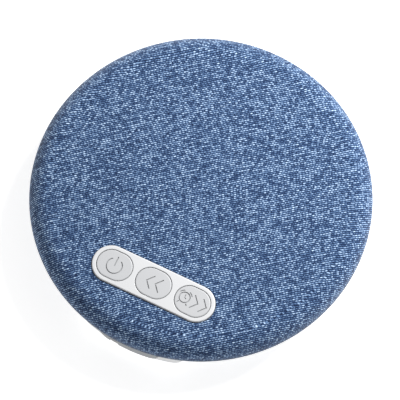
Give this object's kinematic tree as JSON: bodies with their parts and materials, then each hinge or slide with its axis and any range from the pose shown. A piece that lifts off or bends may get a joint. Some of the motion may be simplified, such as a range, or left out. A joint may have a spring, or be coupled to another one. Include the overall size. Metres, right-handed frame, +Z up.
{
  "type": "bluetooth audio receiver",
  "caption": "Round fabric-topped wireless speaker puck with a pill-shaped key bezel near the front edge and a silicone flap over its charging socket.",
  "frame": {"origin": "middle of the foot ring on the surface the puck lies on, straight under the centre of the round body", "axes": "+Z up through the fabric top, -Y towards the key row and the port flap, +X to the right as the keys are read"},
  "size_m": [0.09, 0.09, 0.0186],
  "materials": {
    "melange_fabric": "blue and white melange twill, matte",
    "black_shell_plastic": "moulded, fine grain",
    "white_shell_plastic": "moulded, satin",
    "grey_silicone": "matte silicone",
    "screw_steel": "zinc plated",
    "bezel_plastic": "satin, light grey",
    "key_plastic": "satin, grey",
    "chip_black": "moulded epoxy",
    "plunger_plastic": "moulded",
    "board_green": "solder mask",
    "led_lens": "clear resin",
    "flex_film": "polyimide film",
    "connector_ivory": "moulded nylon",
    "plated_metal": "nickel plated",
    "ceramic_tan": "sintered ceramic",
    "can_aluminium": "drawn aluminium",
    "pouch_foil": "laminated foil, satin",
    "foam_tape": "closed-cell foam",
    "red_insulation": "pvc, semi-gloss",
    "black_insulation": "pvc, semi-gloss",
    "basket_paint": "black paint on pressed steel",
    "rubber_surround": "moulded, matte",
    "spider_cloth": "impregnated cotton",
    "cone_paper": "coated paper",
    "coil_copper": "enamelled copper",
    "zinc_steel": "zinc plated",
    "terminal_board": "phenolic board"
  },
  "bodies": {
    "housing": {"fabric_cover": "melange_fabric", "top_shell": "black_shell_plastic", "bottom_shell": "white_shell_plastic", "foot_ring": "grey_silicone", "case_screws": "screw_steel", "key_bezel": "bezel_plastic", "power_switch": "chip_black", "previous_switch": "chip_black", "next_switch": "chip_black", "key_board": "board_green", "key_board_screws": "screw_steel", "status_led": "led_lens", "ribbon_cable": "flex_film", "ribbon_sockets": "connector_ivory", "main_board": "board_green", "audio_processor": "chip_black", "amplifier_chip": "chip_black", "charger_chip": "chip_black", "crystal": "plated_metal", "power_inductor": "chip_black", "chip_capacitors": "ceramic_tan", "chip_resistors": "chip_black", "bulk_capacitor": "can_aluminium", "chip_antenna": "ceramic_tan", "usb_shell": "plated_metal", "usb_tongue": "chip_black", "flap_anchor": "grey_silicone", "flap_web": "grey_silicone", "battery_cell": "pouch_foil", "battery_tape": "foam_tape", "battery_socket": "connector_ivory", "battery_plug": "connector_ivory", "battery_lead_red": "red_insulation", "battery_lead_black": "black_insulation", "speaker_frame": "basket_paint", "speaker_gasket": "foam_tape", "speaker_surround": "rubber_surround", "speaker_spider": "spider_cloth", "speaker_magnet": "plated_metal", "speaker_pole_plate": "zinc_steel", "speaker_yoke": "zinc_steel", "speaker_terminals": "terminal_board", "speaker_screws": "screw_steel", "speaker_lead_red": "red_insulation", "speaker_lead_black": "black_insulation"},
    "power_key": {"power_key": "key_plastic"},
    "previous_key": {"previous_key": "key_plastic"},
    "next_key": {"next_key": "key_plastic"},
    "power_plunger": {"power_plunger": "plunger_plastic"},
    "previous_plunger": {"previous_plunger": "plunger_plastic"},
    "next_plunger": {"next_plunger": "plunger_plastic"},
    "speaker_cone": {"speaker_cone": "cone_paper", "speaker_dust_cap": "can_aluminium", "voice_coil": "coil_copper"},
    "port_flap": {"port_flap": "grey_silicone"}
  },
  "joints": [
    {"name": "power_key_press", "type": "slide", "parent": "housing", "child": "power_key", "axis": [0, 0.055, -0.9985], "range_m": [0, 0.0003], "stiffness_N_per_m": 4000},
    {"name": "previous_key_press", "type": "slide", "parent": "housing", "child": "previous_key", "axis": [0, 0.055, -0.9985], "range_m": [0, 0.0003], "stiffness_N_per_m": 4000},
    {"name": "next_key_press", "type": "slide", "parent": "housing", "child": "next_key", "axis": [0, 0.055, -0.9985], "range_m": [0, 0.0003], "stiffness_N_per_m": 4000},
    {"name": "power_plunger_press", "type": "slide", "parent": "housing", "child": "power_plunger", "axis": [0, 0.055, -0.9985], "range_m": [0, 0.0003]},
    {"name": "previous_plunger_press", "type": "slide", "parent": "housing", "child": "previous_plunger", "axis": [0, 0.055, -0.9985], "range_m": [0, 0.0003]},
    {"name": "next_plunger_press", "type": "slide", "parent": "housing", "child": "next_plunger", "axis": [0, 0.055, -0.9985], "range_m": [0, 0.0003]},
    {"name": "cone_travel", "type": "slide", "parent": "housing", "child": "speaker_cone", "axis": [0, 0, 1], "range_m": [-0.0004, 0.0004], "stiffness_N_per_m": 1500, "deforming": ["speaker_surround", "speaker_spider"]},
    {"name": "flap_hinge", "type": "hinge", "parent": "housing", "child": "port_flap", "pos_m": [-0.0036, -0.0424, 0.0049], "axis": [0, 0, -1], "range_deg": [0, 110], "stiffness_Nm_per_rad": 0.0005, "deforming": ["flap_web"]}
  ],
  "couplings": [
    {"joint": "power_plunger_press", "follows": "power_key_press", "ratio": 1},
    {"joint": "previous_plunger_press", "follows": "previous_key_press", "ratio": 1},
    {"joint": "next_plunger_press", "follows": "next_key_press", "ratio": 1}
  ]
}
